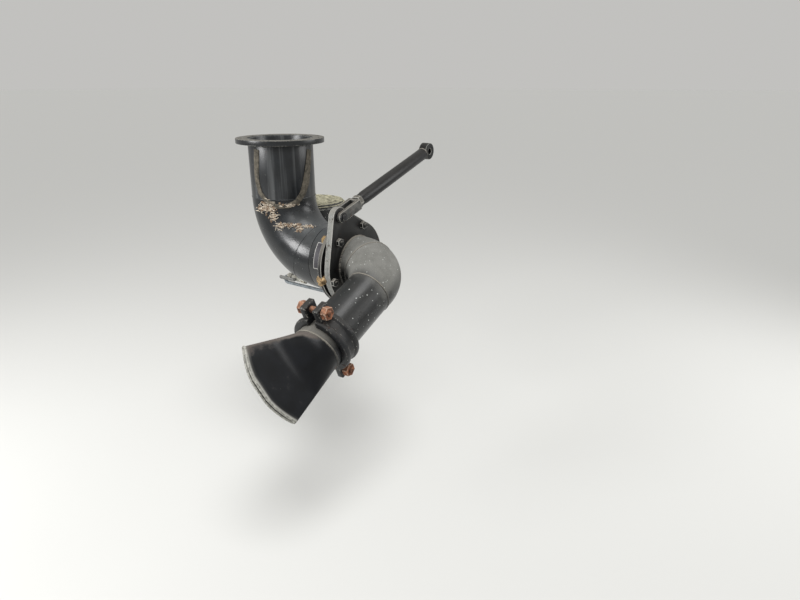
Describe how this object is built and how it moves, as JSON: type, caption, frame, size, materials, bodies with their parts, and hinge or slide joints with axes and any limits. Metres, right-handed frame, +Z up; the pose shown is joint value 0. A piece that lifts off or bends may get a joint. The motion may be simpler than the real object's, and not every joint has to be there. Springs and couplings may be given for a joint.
{
  "type": "water truck side spray head",
  "caption": "Side spray head of a water truck: supply elbow, swivel with lever plate and adjusting strut, tapering discharge elbow and a fan nozzle in a grooved coupling.",
  "frame": {"origin": "centre of the top flange's upper face, where the supply pipe hangs from the tank's outlet", "axes": "+Z up, +X along the truck to its rear and along the run from the supply to the swivel, +Y into the truck, so the nozzle sprays out to -Y"},
  "size_m": [0.5855, 0.8006, 0.5202],
  "materials": {
    "pipe_black": "glossy black paint, dusty on top",
    "dusty_paint": "black paint dulled by road dust",
    "worn_steel": "worn bare steel",
    "rusty_steel": "rusted steel",
    "nozzle_black": "satin black paint, worn at the lips",
    "strut_black": "satin black paint"
  },
  "bodies": {
    "supply": {"inlet_flange": "dusty_paint", "supply_leg": "pipe_black", "supply_elbow": "pipe_black", "swivel_sleeve": "pipe_black", "pressure_can": "pipe_black", "can_gusset": "pipe_black", "drain_boss": "dusty_paint", "drain_cock": "worn_steel", "drain_lever": "rusty_steel", "drain_tube": "worn_steel"},
    "head": {"lever_plate": "dusty_paint", "retaining_ring": "dusty_paint", "swivel_bolt_1": "rusty_steel", "swivel_bolt_2": "rusty_steel", "swivel_bolt_3": "rusty_steel", "swivel_bolt_4": "rusty_steel", "swivel_bolt_5": "rusty_steel", "swivel_bolt_6": "rusty_steel", "discharge_elbow": "dusty_paint", "coupling_front": "dusty_paint", "coupling_rear": "dusty_paint", "coupling_bolt_lower": "rusty_steel", "coupling_bolt_upper": "rusty_steel"},
    "nozzle": {"nozzle_neck": "dusty_paint", "fan_nozzle": "nozzle_black"},
    "fork": {"strut_fork": "worn_steel", "lever_pin": "rusty_steel", "strut_stud": "worn_steel"},
    "strut": {"lock_nut": "worn_steel", "strut_tube": "strut_black", "strut_eye": "strut_black"}
  },
  "joints": [
    {"name": "head_tilt", "type": "hinge", "parent": "supply", "child": "head", "pos_m": [0.2352, 0, -0.3024], "axis": [1, 0, 0], "range_deg": [0, 14]},
    {"name": "nozzle_roll", "type": "hinge", "parent": "head", "child": "nozzle", "pos_m": [0.343, -0.24292, -0.40055], "axis": [0, -0.9272, -0.3746], "range_deg": [-90, 90]},
    {"name": "strut_swing", "type": "hinge", "parent": "head", "child": "fork", "pos_m": [0.2352, -0.061, -0.1714], "axis": [1, 0, 0], "range_deg": [-12.9, 0]},
    {"name": "strut_extend", "type": "slide", "parent": "fork", "child": "strut", "axis": [0, 0.9605, 0.2781], "range_m": [0, 0.0342]}
  ],
  "couplings": [
    {"joint": "strut_swing", "follows": "head_tilt", "ratio": -0.915},
    {"joint": "strut_extend", "follows": "head_tilt", "m_per_rad": 0.1394}
  ]
}
